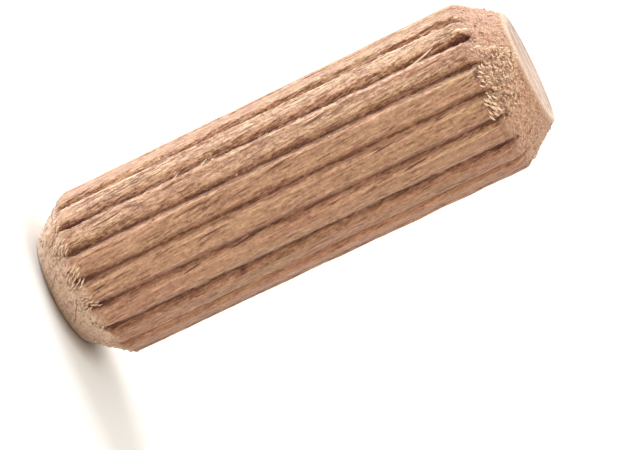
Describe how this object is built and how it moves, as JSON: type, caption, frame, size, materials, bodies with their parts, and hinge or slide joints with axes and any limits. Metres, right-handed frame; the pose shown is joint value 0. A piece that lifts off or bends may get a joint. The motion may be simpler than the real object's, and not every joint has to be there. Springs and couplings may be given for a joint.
{
  "type": "dowel pin",
  "caption": "Straight one-piece wooden dowel pin with shallow lengthwise flutes and a chamfer at each end.",
  "frame": {"origin": "centre of the lower end face, on the surface that the pin stands on", "axes": "+Z along the pin's axis, up; one flute faces -Y, and lands face +X and -X"},
  "size_m": [0.0102, 0.0102, 0.03],
  "materials": {
    "beech": "bare, matt, as cut and tumbled"
  },
  "bodies": {
    "root": {"dowel_pin": "beech"}
  },
  "joints": []
}
